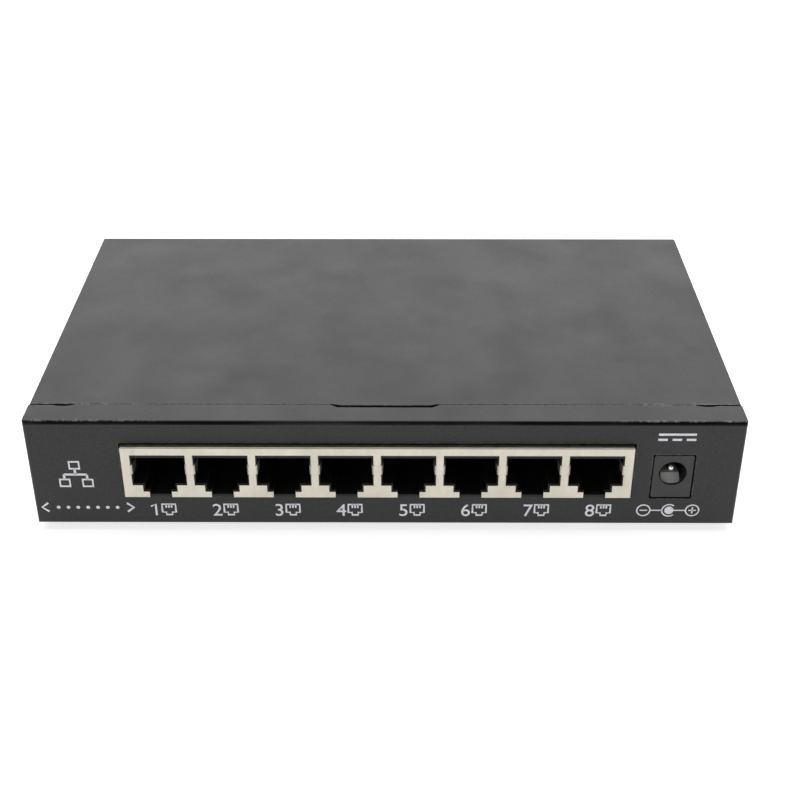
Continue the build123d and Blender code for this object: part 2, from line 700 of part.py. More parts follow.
def make_board():
    """Drilled board."""
    half = BOARD_HALF_WIDTH
    board = block(-half, half, BOARD_FRONT, BOARD_BACK, BOARD_BOTTOM, BOARD_TOP)
    board = fillet(board.edges().filter_by(Axis.Z), BOARD_CORNER)
    z0, z1 = BOARD_BOTTOM - OVER, BOARD_TOP + OVER
    drills = [post(x, y, SCREW_HOLE + DRILL_ROOM, z0, z1) for x, y in STANDOFFS]
    drills += [post(x, y, PIN_RADIUS + DRILL_ROOM, z0, z1) for x, y in contact_pins()]
    drills += [post(x, LOCATING_Y, LOCATING_RADIUS + CLEAR, z0, z1) for x in LOCATING_POSTS]
    for x in SHIELD_TAILS_X:
        half = SHIELD_TAIL_HALF + SLOT_ROOM
        y0, y1 = SHIELD_BACK - SHIELD_SHEET - SLOT_ROOM, SHIELD_BACK + SLOT_ROOM
        drills.append(block(x - half, x + half, y0, y1, z0, z1))
    for x in LAMP_X:
        for side in (-1, 1):
            drills.append(post(x + side * LEAD_HALF_SPACE, LEAD_Y, LEAD_DRILL, z0, z1))
    back = JACK_FRONT + JACK_LENGTH
    half = TERMINAL_HALF + SLOT_ROOM
    y1 = back + TERMINAL_SHEET + SLOT_ROOM
    drills.append(block(JACK_X - half, JACK_X + half, back - SLOT_ROOM, y1, z0, z1))
    half = LEAF_HALF + SLOT_ROOM
    y0, y1 = STRAP_Y - STRAP_HALF - SLOT_ROOM, STRAP_Y + STRAP_HALF + SLOT_ROOM
    drills.append(block(JACK_X - half, JACK_X + half, y0, y1, z0, z1))
    side = JACK_X - JACK_WIDTH / 2
    x0, x1 = side - SIDE_TERMINAL_SHEET - MERGE, side + DRILL_ROOM
    y0, y1 = SIDE_TERMINAL_Y[0] - MERGE, SIDE_TERMINAL_Y[1] + MERGE
    drills.append(block(x0, x1, y0, y1, z0, z1))
    for drill in drills:
        board -= drill
    return board


def gull_wing(shoulder, reach, rise, thick=GULL_SHEET):
    """Outline of a lead in X and Z: out from the body's side, down, and along the board."""
    foot = BOARD_TOP + HAIR
    knee = shoulder + reach * 0.4
    return [
        (shoulder, foot + rise),
        (knee, foot + rise),
        (knee, foot),
        (shoulder + reach, foot),
        (shoulder + reach, foot + thick),
        (knee + thick, foot + thick),
        (knee + thick, foot + rise + thick),
        (shoulder, foot + rise + thick),
    ]


def lead_row(x, y, angle, outline, count, pitch, width):
    """Leads side by side along one side of a package, turned by angle about its middle."""
    lead = prism_y(outline, -width / 2, width / 2)
    places = [pitch * (i - (count - 1) / 2) for i in range(count)]
    return [Pos(x, y, 0) * Rot(0, 0, angle) * Pos(0, along, 0) * lead for along in places]


def package(x, y, size, lift, edge):
    """A moulded package with its top edges eased."""
    w, d, h = size
    body = block(x - w / 2, x + w / 2, y - d / 2, y + d / 2, BOARD_TOP + lift, BOARD_TOP + lift + h)
    top = body.faces().sort_by(Axis.Z)[-1]
    return chamfer(top.edges(), edge)


def make_transformers():
    bodies, leads = [], []
    outline = gull_wing(TRANSFORMER[0] / 2 + HAIR, 1.5, 1.6)
    top = BOARD_TOP + TRANSFORMER_LIFT + TRANSFORMER[2]
    for x in PORT_X:
        body = package(x, TRANSFORMER_Y, TRANSFORMER, TRANSFORMER_LIFT, TRANSFORMER_EASE)
        dot_x, dot_y = x - DOT_OFFSET[0], TRANSFORMER_Y - DOT_OFFSET[1]
        dot = post(dot_x, dot_y, DOT_RADIUS, top - DOT_DEPTH, top + OVER)
        bodies.append(body - dot)
        for angle in (0, 180):
            leads += lead_row(x, TRANSFORMER_Y, angle, outline, 12, WIDE_PITCH, WIDE_LEAD)
    return bodies, leads


def make_switch_chip():
    body = package(CHIP_X, CHIP_Y, (CHIP_SIDE, CHIP_SIDE, CHIP_HEIGHT), CHIP_LIFT, CHIP_EASE)
    outline = gull_wing(CHIP_SIDE / 2 + HAIR, CHIP_LEAD_REACH, CHIP_LEAD_RISE, CHIP_LEAD_SHEET)
    leads = []
    for angle in (0, 90, 180, 270):
        leads += lead_row(CHIP_X, CHIP_Y, angle, outline, CHIP_PINS, CHIP_PITCH, CHIP_LEAD_WIDTH)
    return body, leads


PAD_Z = BOARD_TOP + CHIP_LIFT + CHIP_HEIGHT + HAIR
SINK_SIDE = 28.0
SINK_Z = PAD_Z + PAD_THICKNESS + HAIR
SINK_BASE = 2.0
SINK_HEIGHT = 9.0
FIN_COUNT = 9
FIN_THICKNESS = 1.0


def make_pad():
    x0, x1 = CHIP_X - PAD_HALF, CHIP_X + PAD_HALF
    return block(x0, x1, CHIP_Y - PAD_HALF, CHIP_Y + PAD_HALF, PAD_Z, PAD_Z + PAD_THICKNESS)


def make_heatsink():
    half = SINK_SIDE / 2
    y0, y1, top = CHIP_Y - half, CHIP_Y + half, SINK_Z + SINK_HEIGHT
    sink = block(CHIP_X - half, CHIP_X + half, y0, y1, SINK_Z, top)
    pitch = (SINK_SIDE - FIN_THICKNESS) / (FIN_COUNT - 1)
    for i in range(FIN_COUNT - 1):
        x0 = CHIP_X - half + FIN_THICKNESS + pitch * i
        x1 = x0 + pitch - FIN_THICKNESS
        sink -= block(x0, x1, y0 - OVER, y1 + OVER, SINK_Z + SINK_BASE, top + OVER)
    return sink


CRYSTAL_AT = (22.0, 54.0)
CRYSTAL_HALF = 3.2  # from its middle to the middle of a round end
CRYSTAL_RADIUS = 2.3
CRYSTAL_BRIM = 0.35
CRYSTAL_BASE = 0.5
CRYSTAL_HEIGHT = 3.5
CAN_RADIUS = 3.15
CAN_HEIGHT = 6.6
CAN_BASE = 1.3
CAN_BASE_HALF = 3.3
CAN_BASE_CHAMFER = 0.9
CAN_EASE = 0.5
GROOVE_DEPTH = 0.2
GROOVE = (0.7, 1.2)  # over the can's lower end
INDUCTOR_HALF = 3.5
INDUCTOR_HEIGHT = 4.0
INDUCTOR_CORNER = 1.2
INDUCTOR_EASE = 0.3
DISC_RADIUS = 4.2
DISC_THICKNESS = 3.2
DISC_EASE = 1.2
DISC_HEIGHT = 4.6  # of its middle over the board
DIODE = (2.7, 4.4, 2.2)
DIODES = [(54.0, 19.0), (54.5, 44.0)]
RESISTOR = (0.85, 1.6, 0.45)
CAPACITOR = (1.25, 2.0, 0.8)
RESISTOR_PITCH = 2.2
CAPACITOR_PITCH = 2.6


def make_crystal():
    """Low oval can on its base plate."""
    (x, y), half = CRYSTAL_AT, CRYSTAL_HALF
    made = []
    levels = ((CRYSTAL_BRIM, PART_LIFT, CRYSTAL_BASE), (0.0, CRYSTAL_BASE, CRYSTAL_HEIGHT))
    for grow, z0, z1 in levels:
        r = CRYSTAL_RADIUS + grow
        bar = block(x - half, x + half, y - r, y + r, BOARD_TOP + z0, BOARD_TOP + z1)
        bar += post(x - half, y, r, BOARD_TOP + z0, BOARD_TOP + z1)
        made.append(bar + post(x + half, y, r, BOARD_TOP + z0, BOARD_TOP + z1))
    can = made[0] + made[1]
    rim = can.faces().sort_by(Axis.Z)[-1]
    return fillet(rim.edges(), CAN_EASE)


def make_small_chips():
    bodies = {}
    leads = []
    outline = gull_wing(SMALL_CHIP[0] / 2 + HAIR, CHIP_LEAD_REACH, CHIP_LEAD_RISE)
    for name, places in SMALL_CHIPS.items():
        bodies[name] = [package(x, y, SMALL_CHIP, CHIP_LIFT, CHIP_EASE) for x, y in places]
        for x, y in places:
            for angle in (0, 180):
                leads += lead_row(x, y, angle, outline, 4, WIDE_PITCH, WIDE_LEAD)
    return bodies, leads


def make_cans():
    """Surface-mount electrolytics: metal cans with a rolled groove, on moulded bases."""
    cans, bases = [], []
    for x, y in CAN_PLACES:
        low, half = BOARD_TOP + CAN_BASE, CAN_BASE_HALF
        can = post(x, y, CAN_RADIUS, low, low + CAN_HEIGHT)
        can = fillet(can.faces().sort_by(Axis.Z)[-1].edges(), CAN_EASE)
        z0, z1 = low + GROOVE[0], low + GROOVE[1]
        groove = post(x, y, CAN_RADIUS + OVER, z0, z1)
        groove -= post(x, y, CAN_RADIUS - GROOVE_DEPTH, z0 - OVER, z1 + OVER)
        cans.append(can - groove)
        base = block(x - half, x + half, y - half, y + half, BOARD_TOP + PART_LIFT, low - HAIR)
        bases.append(chamfer(edges_at(base, Axis.Z, X=x + half), CAN_BASE_CHAMFER))
    return cans, bases


def make_inductors():
    made = []
    for x, y in INDUCTORS:
        z0, z1, half = BOARD_TOP + PART_LIFT, BOARD_TOP + INDUCTOR_HEIGHT, INDUCTOR_HALF
        body = block(x - half, x + half, y - half, y + half, z0, z1)
        body = fillet(body.edges().filter_by(Axis.Z), INDUCTOR_CORNER)
        made.append(chamfer(body.faces().sort_by(Axis.Z)[-1].edges(), INDUCTOR_EASE))
    return made


def make_safety_capacitors():
    """Two high-voltage discs on edge, in line with the board's depth."""
    made = []
    for x, y in SAFETY_CAPACITORS:
        disc = Rot(0, 90, 0) * Cylinder(DISC_RADIUS, DISC_THICKNESS)
        disc = fillet(disc.edges().filter_by(GeomType.CIRCLE), DISC_EASE)
        made.append(Pos(x, y, BOARD_TOP + DISC_HEIGHT) * disc)
    return made


def chip_parts(places, size):
    """Two-terminal surface-mount parts."""
    w, d, h = size
    z0 = BOARD_TOP + PART_LIFT
    return [block(x - w / 2, x + w / 2, y - d / 2, y + d / 2, z0, z0 + h) for x, y in places]


def resistor_places():
    """Termination resistors behind each transformer, and two rows beside the chip."""
    places = [(x + CAPACITOR_PITCH * (k - 1.5), 40.0) for x in PORT_X for k in range(4)]
    places += [(CHIP_X - 20.0, 49.0 + RESISTOR_PITCH * k) for k in range(10)]
    places += [(30.0, 50.0 + RESISTOR_PITCH * k) for k in range(8)]
    return places + [(x - 3.6, 84.0) for x in LAMP_X]


def capacitor_places():
    """Decoupling round the chip and filtering beside the regulators."""
    row = [CHIP_X + CAPACITOR_PITCH * (k - 4.5) for k in range(10)]
    places = [(x, y) for y in (43.5, 77.0) for x in row]
    places += [(x, 19.0) for x in PORT_X]
    return places + [(42.5, y + CAPACITOR_PITCH * k) for y in (42.5, 54.5) for k in range(4)]


def make_diodes():
    return [package(x, y, DIODE, PART_LIFT, CHIP_EASE) for x, y in DIODES]


# ---------------------------------------------------------------- indicator lamps
LAMP_FLANGE_RADIUS = 1.9
LAMP_FLANGE = 1.0
HOLDER_HALF = 2.5
HOLDER_RISE = 2.6  # over the lamp's axis
CHANNEL_HALF = 1.8
CHANNEL_RISE = 0.8
CHANNEL_ROOM = 0.6


def make_lamp(x):
    """Round 3 mm lamp lying along Y, its dome through the panel."""
    tip = CASE_DEPTH + LAMP_PROUD
    lens = rod_y(x, LAMP_Z, LAMP_RADIUS, LAMP_BACK, tip - LAMP_RADIUS)
    lens += Pos(x, tip - LAMP_RADIUS, LAMP_Z) * Sphere(LAMP_RADIUS)
    return lens + rod_y(x, LAMP_Z, LAMP_FLANGE_RADIUS, LAMP_BACK, LAMP_BACK + LAMP_FLANGE)


def make_lamp_leads(x):
    """Two bent leads, back through the holder and down into the board."""
    made = []
    for side in (-1, 1):
        at = x + side * LEAD_HALF_SPACE
        x0, x1 = at - LEAD_HALF, at + LEAD_HALF
        y0, y1 = LEAD_Y - LEAD_HALF, LEAD_Y + LEAD_HALF
        level = block(x0, x1, y0, LAMP_BACK - HAIR, LAMP_Z - LEAD_HALF, LAMP_Z + LEAD_HALF)
        down = block(x0, x1, y0, y1, PIN_END, LAMP_Z)
        made.append(level + down)
    return made


def make_lamp_holder(x):
    """Moulded block that sets a lamp's height, channelled for its leads."""
    y0, y1 = HOLDER_FRONT - HOLDER_DEPTH, HOLDER_FRONT
    z0, z1 = BOARD_TOP + PART_LIFT, LAMP_Z + HOLDER_RISE
    holder = block(x - HOLDER_HALF, x + HOLDER_HALF, y0, y1, z0, z1)
    x0, x1, top = x - CHANNEL_HALF, x + CHANNEL_HALF, LAMP_Z + CHANNEL_RISE
    holder -= block(x0, x1, y0 - OVER, LEAD_Y + CHANNEL_ROOM, BOARD_TOP - OVER, top)
    return holder - block(x0, x1, y0 - OVER, y1 + OVER, LAMP_Z - CHANNEL_RISE, top)


# ---------------------------------------------------------------- write every piece
os.makedirs("parts", exist_ok=True)

save("chassis", make_chassis())
save("top_cover", make_cover())
cover_screws = [
    pan_head(x, y, 0, -1, COVER_HEAD_HEIGHT, COVER_SCREW_LENGTH) for x, y in COVER_SCREWS
]
save("cover_screws", cover_screws)
save("rubber_feet", make_feet())
save("standoffs", make_standoffs())
board_screws = [
    pan_head(x, y, BOARD_TOP, 1, BOARD_HEAD_HEIGHT, BOARD_SCREW_LENGTH) for x, y in STANDOFFS
]
save("board_screws", board_screws)

save("port_shield", make_shield())
save("port_housings", make_housings())
save("contact_carriers", make_carriers())
save("contact_combs", make_combs())
for number, port_x in enumerate(PORT_X, 1):
    save(f"port_{number}_contacts", make_contacts(port_x))
save("port_pins", [post(x, y, PIN_RADIUS, PIN_END, HOUSING_BOTTOM) for x, y in contact_pins()])

save("dc_jack_body", make_jack_body())
save("dc_jack_pin", make_jack_pin())
save("dc_jack_spring", make_jack_spring())
save("dc_jack_terminals", make_jack_terminals())

save("circuit_board", make_board())
transformers, transformer_leads = make_transformers()
save("line_transformers", transformers)
save("transformer_leads", transformer_leads)
chip, chip_leads = make_switch_chip()
save("switch_chip", chip)
save("switch_chip_leads", chip_leads)
save("thermal_pad", make_pad())
save("heatsink", make_heatsink())
save("crystal", make_crystal())
small_bodies, small_leads = make_small_chips()
for node, shapes in small_bodies.items():
    save(node, shapes)
save("small_chip_leads", small_leads)
cans, bases = make_cans()
save("capacitor_cans", cans)
save("capacitor_bases", bases)
save("power_inductors", make_inductors())
save("safety_capacitors", make_safety_capacitors())
save("input_diodes", make_diodes())
save("chip_resistors", chip_parts(resistor_places(), RESISTOR))
save("chip_capacitors", chip_parts(capacitor_places(), CAPACITOR))

save("status_lamps", [make_lamp(x) for x in LAMP_X])
save("lamp_leads", [lead for x in LAMP_X for lead in make_lamp_leads(x)])
save("lamp_holders", [make_lamp_holder(x) for x in LAMP_X])
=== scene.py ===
import json
import math

import bmesh
import bpy
from mathutils import Euler, Matrix, Vector


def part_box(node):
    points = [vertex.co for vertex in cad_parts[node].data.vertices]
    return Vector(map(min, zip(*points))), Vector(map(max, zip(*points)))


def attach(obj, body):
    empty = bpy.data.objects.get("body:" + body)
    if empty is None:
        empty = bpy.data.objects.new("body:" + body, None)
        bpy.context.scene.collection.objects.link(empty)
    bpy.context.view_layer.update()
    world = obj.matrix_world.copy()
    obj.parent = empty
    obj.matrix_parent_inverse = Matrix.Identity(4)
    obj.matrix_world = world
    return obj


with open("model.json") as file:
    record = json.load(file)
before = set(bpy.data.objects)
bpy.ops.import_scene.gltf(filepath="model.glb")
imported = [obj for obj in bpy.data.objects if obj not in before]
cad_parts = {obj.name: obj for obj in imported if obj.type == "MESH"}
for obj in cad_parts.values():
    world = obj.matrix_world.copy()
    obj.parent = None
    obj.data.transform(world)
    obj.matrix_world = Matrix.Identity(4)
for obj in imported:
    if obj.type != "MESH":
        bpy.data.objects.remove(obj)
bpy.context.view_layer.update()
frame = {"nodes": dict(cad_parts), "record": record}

MM = 0.001
CASE = "case"

# ---------------------------------------------------------------- places, from the frame
MOUNTS = {m["name"]: Vector(m["pos_m"]) for m in frame["record"]["mounts"]}
PORTS = [MOUNTS[f"port_{i}"] for i in range(1, 9)]
chassis_low, chassis_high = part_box("chassis")
PANEL_Y = chassis_low.y
REAR_Y = chassis_high.y
FLOOR_Z = chassis_low.z  # underside of the case
CASE_TOP = chassis_high.z


# ---------------------------------------------------------------- shader helpers
WEAR_AND_HIGHLIGHT_TURN = (0.02, 0.25)  # how far the rounded normal turns where the paler edge begins, and where it is full; the paler edge is partly wear, partly a painted highlight


def new_material(name, **sockets):
    """A material with one Principled shader, whose constant values are set on its sockets."""
    mat = bpy.data.materials.new(name)
    mat.use_nodes = True
    shader = mat.node_tree.nodes["Principled BSDF"]
    for key, value in sockets.items():
        socket = shader.inputs[key.replace("_", " ")]
        socket.default_value = (*value, 1.0) if isinstance(value, tuple) else value
    return mat, mat.node_tree, shader


def add(tree, kind, **values):
    """A node, with its properties and the defaults of its named inputs set."""
    node = tree.nodes.new(kind)
    for key, value in values.items():
        if hasattr(node, key):
            setattr(node, key, value)
        else:
            node.inputs[key.replace("_", " ")].default_value = value
    return node


def noise(tree, scale, detail=4.0, rough=0.6, stretch=None):
    """Noise over the object's own coordinates, in features per metre."""
    coords = add(tree, "ShaderNodeTexCoord")
    source = coords.outputs["Object"]
    if stretch:
        mapping = add(tree, "ShaderNodeMapping")
        mapping.inputs["Scale"].default_value = stretch
        tree.links.new(source, mapping.inputs["Vector"])
        source = mapping.outputs["Vector"]
    tex = add(tree, "ShaderNodeTexNoise", Scale=scale, Detail=detail, Roughness=rough)
    tree.links.new(source, tex.inputs["Vector"])
    return tex.outputs["Fac"]


def ramp(tree, factor, *stops):
    """A colour ramp. Each stop is a place and a colour or grey level."""
    node = add(tree, "ShaderNodeValToRGB")
    elements = node.color_ramp.elements
    while len(elements) < len(stops):
        elements.new(0.5)
    for element, (place, value) in zip(elements, stops):
        element.position = place
        element.color = (*value, 1.0) if isinstance(value, tuple) else (value, value, value, 1.0)
    tree.links.new(factor, node.inputs["Fac"])
    return node.outputs["Color"]


def bump(tree, shader, height, distance, strength=1.0, under=None):
    """Bump from a height, over another bump if one is given. Returns its normal."""
    node = add(tree, "ShaderNodeBump", Distance=distance, Strength=strength)
    tree.links.new(height, node.inputs["Height"])
    if under is not None:
        tree.links.new(under, node.inputs["Normal"])
    tree.links.new(node.outputs["Normal"], shader.inputs["Normal"])
    return node.outputs["Normal"]


def blend_colours(tree, factor, first, second):
    """From first to second by a factor. Each is a colour or another node's output."""
    node = add(tree, "ShaderNodeMix", data_type="RGBA")
    for socket, value in ((node.inputs[6], first), (node.inputs[7], second)):
        if isinstance(value, tuple):
            socket.default_value = (*value, 1.0)
        else:
            tree.links.new(value, socket)
    tree.links.new(factor, node.inputs[0])
    return node.outputs[2]


def edge_mask(tree, radius):
    """White near a solid's sharp edges, broken up by noise."""
    edge_wear_and_painted_highlight = add(tree, "ShaderNodeBevel", samples=4, Radius=radius)
    geometry = add(tree, "ShaderNodeNewGeometry")
    dot = add(tree, "ShaderNodeVectorMath", operation="DOT_PRODUCT")
    tree.links.new(edge_wear_and_painted_highlight.outputs["Normal"], dot.inputs[0])
    tree.links.new(geometry.outputs["Normal"], dot.inputs[1])
    turned = add(tree, "ShaderNodeMath", operation="SUBTRACT")
    turned.inputs[0].default_value = 1.0
    tree.links.new(dot.outputs["Value"], turned.inputs[1])
    grain = ramp(tree, noise(tree, 900.0), (0.42, 0.0), (0.62, 1.0))
    return multiply(tree, level_between(tree, turned.outputs[0], *WEAR_AND_HIGHLIGHT_TURN), grain)


def level_between(tree, value, low, high):
    """0 at low, 1 at high, and straight between them."""
    node = add(tree, "ShaderNodeMapRange")
    node.inputs["From Min"].default_value = low
    node.inputs["From Max"].default_value = high
    tree.links.new(value, node.inputs["Value"])
    return node.outputs["Result"]


def window(tree, axis, start, end, soft):
    """White where an object coordinate lies between start and end, with soft ends."""
    coords = add(tree, "ShaderNodeTexCoord")
    parts = add(tree, "ShaderNodeSeparateXYZ")
    tree.links.new(coords.outputs["Object"], parts.inputs["Vector"])
    place = parts.outputs[axis]
    rise = level_between(tree, place, start - soft, start)
    return multiply(tree, rise, level_between(tree, place, end + soft, end))


def multiply(tree, first, second):
    """The product of two outputs."""
    node = add(tree, "ShaderNodeMath", operation="MULTIPLY")
    tree.links.new(first, node.inputs[0])
    tree.links.new(second, node.inputs[1])
    return node.outputs[0]


def strip_along_x(tree, y_range, z_range, soft, patches):
    """White in a thin strip along the case's width, broken up by patches."""
    inside = multiply(tree, window(tree, "Y", *y_range, soft), window(tree, "Z", *z_range, soft))
    return multiply(tree, inside, patches)


# ---------------------------------------------------------------- materials
FOLD_AHEAD = 1.0 * MM  # the painted dark reflection strip along the front fold, from the panel's outer face
FOLD_BEHIND = 0.4 * MM
FOLD_LOW = 0.8 * MM  # its edges, down from the top of the case
FOLD_HIGH = 0.15 * MM
FOLD_SOFT = 0.15 * MM
FLECK_ROWS = ((0.25 * MM, 0.75 * MM), (7.0 * MM, 7.75 * MM))  # painted highlight flecks, behind the fold, and behind the seam
FLECK_DEPTH = 0.2 * MM
FLECK_SOFT = 0.1 * MM
FLECK_FREE = 48 * MM  # no flecks nearer to the middle than this
FLECK_FADE = 10 * MM


def powder_coat():
    """Fine black powder coat: orange peel, pin-head grain, faint cloudiness and paler edges, the edges
    partly wear and partly a painted highlight, with a painted dark reflection along the front fold and
    painted highlight flecks behind the fold and the seam.
    """
    mat, tree, shader = new_material("powder_coat", Specular_IOR_Level=0.32)
    clouds = noise(tree, 34.0, 5.0)
    cloud = ramp(tree, clouds, (0.32, (0.0125, 0.0125, 0.0128)), (0.68, (0.0185, 0.0185, 0.019)))
    grain = ramp(tree, noise(tree, 2600.0, 2.0), (0.35, 0.0), (0.75, 1.0))
    speckled = blend_colours(tree, grain, cloud, (0.028, 0.028, 0.029))
    # Paler sheet edges, partly wear and partly a painted highlight on the sharp edges.
    edge_wear_and_painted_highlight = blend_colours(tree, edge_mask(tree, 0.45 * MM), speckled, (0.17, 0.17, 0.172))
    # Painted reflection: dark along the front fold, standing in for the dark room the fold reflects; and
    # painted highlights as pale flecks just behind the fold and behind the seam.
    patches = ramp(tree, noise(tree, 22.0, 3.0), (0.38, 0.35), (0.6, 0.95))
    y_range = (PANEL_Y - FOLD_AHEAD, PANEL_Y + FOLD_BEHIND)
    fold = strip_along_x(tree, y_range, (CASE_TOP - FOLD_LOW, CASE_TOP - FOLD_HIGH), FOLD_SOFT, patches)
    wear_and_painted_light = blend_colours(tree, fold, edge_wear_and_painted_highlight, (0.0012, 0.0012, 0.0012))
    flecks = ramp(tree, noise(tree, 760.0, 5.0, 0.75, (1.0, 0.35, 0.35)), (0.47, 0.0), (0.64, 1.0))
    middle = window(tree, "X", -FLECK_FREE, FLECK_FREE, FLECK_FADE)
    flecks = multiply(tree, flecks, ramp(tree, middle, (0.0, 1.0), (1.0, 0.0)))
    for start, end in FLECK_ROWS:
        y_range = (PANEL_Y + start, PANEL_Y + end)
        strip = strip_along_x(tree, y_range, (CASE_TOP - FLECK_DEPTH, CASE_TOP + MM), FLECK_SOFT, flecks)
        wear_and_painted_light = blend_colours(tree, strip, wear_and_painted_light, (0.16, 0.16, 0.163))
    tree.links.new(wear_and_painted_light, shader.inputs["Base Color"])
    # The same strip is less specular, as part of the painted dark reflection.
    dull = ramp(tree, fold, (0.0, 0.32), (1.0, 0.05))
    tree.links.new(dull, shader.inputs["Specular IOR Level"])
    gloss = ramp(tree, noise(tree, 60.0, 4.0), (0.3, 0.38), (0.7, 0.48))
    tree.links.new(gloss, shader.inputs["Roughness"])
    peel = bump(tree, shader, noise(tree, 1500.0, 3.0), 0.014 * MM, 0.6)
    bump(tree, shader, noise(tree, 5200.0, 2.0), 0.008 * MM, 0.5, peel)
    return mat


def metal(name, colour, dark, rough, scale=700.0, stretch=None, depth=0.004, shine=1.0):
    """Plated or rolled metal with tarnish, fine grain and a soft change of gloss."""
    mat, tree, shader = new_material(name, Metallic=shine)
    tarnish = ramp(tree, noise(tree, 120.0, 5.0), (0.35, dark), (0.62, colour))
    tree.links.new(tarnish, shader.inputs["Base Color"])
    grain = noise(tree, scale, 4.0, stretch=stretch)
    gloss = ramp(tree, grain, (0.3, rough * 0.8), (0.7, min(1.0, rough * 1.25)))
    tree.links.new(gloss, shader.inputs["Roughness"])
    bump(tree, shader, grain, depth * MM, 0.6)
    return mat


def plastic(name, colour, pale, rough, grain=1800.0, depth=0.008, **sockets):
    """Moulded plastic: spark-eroded grain, faint flow marks, paler edges that are partly rubbed and partly
    a painted highlight.
    """
    mat, tree, shader = new_material(name, **sockets)
    flow = ramp(tree, noise(tree, 90.0, 3.0), (0.3, colour), (0.75, pale))
    paler = tuple(min(1.0, c * 1.6 + 0.01) for c in pale)
    # Paler edges: partly rubbed plastic, partly a painted highlight.
    wear_and_painted_light = blend_colours(tree, edge_mask(tree, 0.2 * MM), flow, paler)
    tree.links.new(wear_and_painted_light, shader.inputs["Base Color"])
    gloss = ramp(tree, noise(tree, 300.0, 3.0), (0.3, rough * 0.9), (0.7, min(1.0, rough * 1.15)))
    tree.links.new(gloss, shader.inputs["Roughness"])
    bump(tree, shader, noise(tree, grain, 3.0), depth * MM, 0.6)
    return mat


def solder_mask():
    """Green mask over copper traces that show as paler lines."""
    mat, tree, shader = new_material("solder_mask", Coat_Weight=0.4, Coat_Roughness=0.15)
    coords = add(tree, "ShaderNodeTexCoord")
    tracks = add(tree, "ShaderNodeTexBrick", Scale=420.0)
    tracks.inputs["Mortar Size"].default_value = 0.03
    tree.links.new(coords.outputs["Object"], tracks.inputs["Vector"])
    field = ramp(tree, noise(tree, 45.0, 2.0), (0.45, 0.0), (0.55, 1.0))
    base = blend_colours(tree, field, (0.006, 0.065, 0.026), (0.010, 0.095, 0.040))
    lined = blend_colours(tree, tracks.outputs["Fac"], base, (0.018, 0.15, 0.06))
    tree.links.new(lined, shader.inputs["Base Color"])
    gloss = ramp(tree, noise(tree, 220.0, 3.0), (0.3, 0.28), (0.7, 0.4))
    tree.links.new(gloss, shader.inputs["Roughness"])
    bump(tree, shader, tracks.outputs["Fac"], 0.02 * MM, 0.5)
    return mat


def lamp_lens():
    """Diffused green lens."""
    mat, tree, shader = new_material("lamp_lens", Transmission_Weight=0.35, Subsurface_Weight=0.2, IOR=1.5)
    body = ramp(tree, noise(tree, 500.0, 3.0), (0.3, (0.16, 0.50, 0.20)), (0.7, (0.24, 0.62, 0.28)))
    tree.links.new(body, shader.inputs["Base Color"])
    gloss = ramp(tree, noise(tree, 900.0, 3.0), (0.3, 0.16), (0.7, 0.26))
    tree.links.new(gloss, shader.inputs["Roughness"])
    bump(tree, shader, noise(tree, 1500.0, 2.0), 0.004 * MM, 0.4)
    return mat


def ink():
    """Screen-printed white ink, a little uneven."""
    mat, tree, shader = new_material("white_ink")
    tone = ramp(tree, noise(tree, 3200.0, 3.0), (0.3, (0.60, 0.60, 0.64)), (0.6, (0.82, 0.82, 0.86)))
    tree.links.new(tone, shader.inputs["Base Color"])
    gloss = ramp(tree, noise(tree, 1500.0, 3.0), (0.3, 0.5), (0.7, 0.7))
    tree.links.new(gloss, shader.inputs["Roughness"])
    bump(tree, shader, noise(tree, 4000.0, 2.0), 0.005 * MM, 0.5)
    return mat


NICKEL = metal("jack_nickel", (0.60, 0.565, 0.485), (0.53, 0.50, 0.425), 0.42, 900.0, (1.0, 1.0, 0.2))
ZINC = metal("zinc_plate", (0.62, 0.63, 0.65), (0.42, 0.43, 0.45), 0.32)
TIN = metal("tin_plate", (0.74, 0.74, 0.73), (0.56, 0.56, 0.55), 0.3, 1500.0)
GOLD = metal("gold_plate", (0.86, 0.62, 0.24), (0.70, 0.46, 0.15), 0.22, 1500.0)
BRIGHT = metal("bright_pin", (0.86, 0.85, 0.82), (0.72, 0.71, 0.68), 0.16, 2200.0, depth=0.002)
# The spring leaf is near-white and barely metallic: a painted bright reflection in place of the nickel's
# own reflection.
LEAF = metal("leaf_nickel_painted_bright", (0.97, 0.97, 0.95), (0.90, 0.90, 0.88), 0.5, 900.0, shine=0.1)
CAN = metal("can_aluminium", (0.78, 0.78, 0.79), (0.66, 0.66, 0.67), 0.26, 800.0, (1.0, 1.0, 0.15))
SINK = metal("black_anodising", (0.055, 0.055, 0.06), (0.035, 0.035, 0.038), 0.42, 1200.0, (1.0, 0.08, 1.0))
# The housing plastic is a little paler than the carrier plastic: painted light on the jack's front ledges.
HOUSING = plastic(
    "jack_plastic", (0.008, 0.0078, 0.0076), (0.013, 0.0127, 0.0124), 0.5, Specular_IOR_Level=0.25
)
DEEP = plastic(
    "carrier_plastic", (0.003, 0.003, 0.0032), (0.006, 0.006, 0.0064), 0.55, Specular_IOR_Level=0.2
)
INLET = plastic("inlet_plastic", (0.017, 0.017, 0.018), (0.024, 0.024, 0.025), 0.5)
EPOXY = plastic("chip_epoxy", (0.014, 0.014, 0.015), (0.024, 0.024, 0.025), 0.6, 2600.0)
NYLON = plastic("black_nylon", (0.012, 0.012, 0.012), (0.020, 0.020, 0.020), 0.42)
RUBBER = plastic("foot_rubber", (0.012, 0.012, 0.012), (0.026, 0.026, 0.026), 0.8, 1200.0, 0.03)
PAD = plastic("thermal_pad", (0.38, 0.39, 0.41), (0.48, 0.49, 0.51), 0.85, 900.0, 0.03)
DISC = plastic("disc_epoxy", (0.03, 0.11, 0.36), (0.05, 0.16, 0.44), 0.3, 700.0, 0.02)
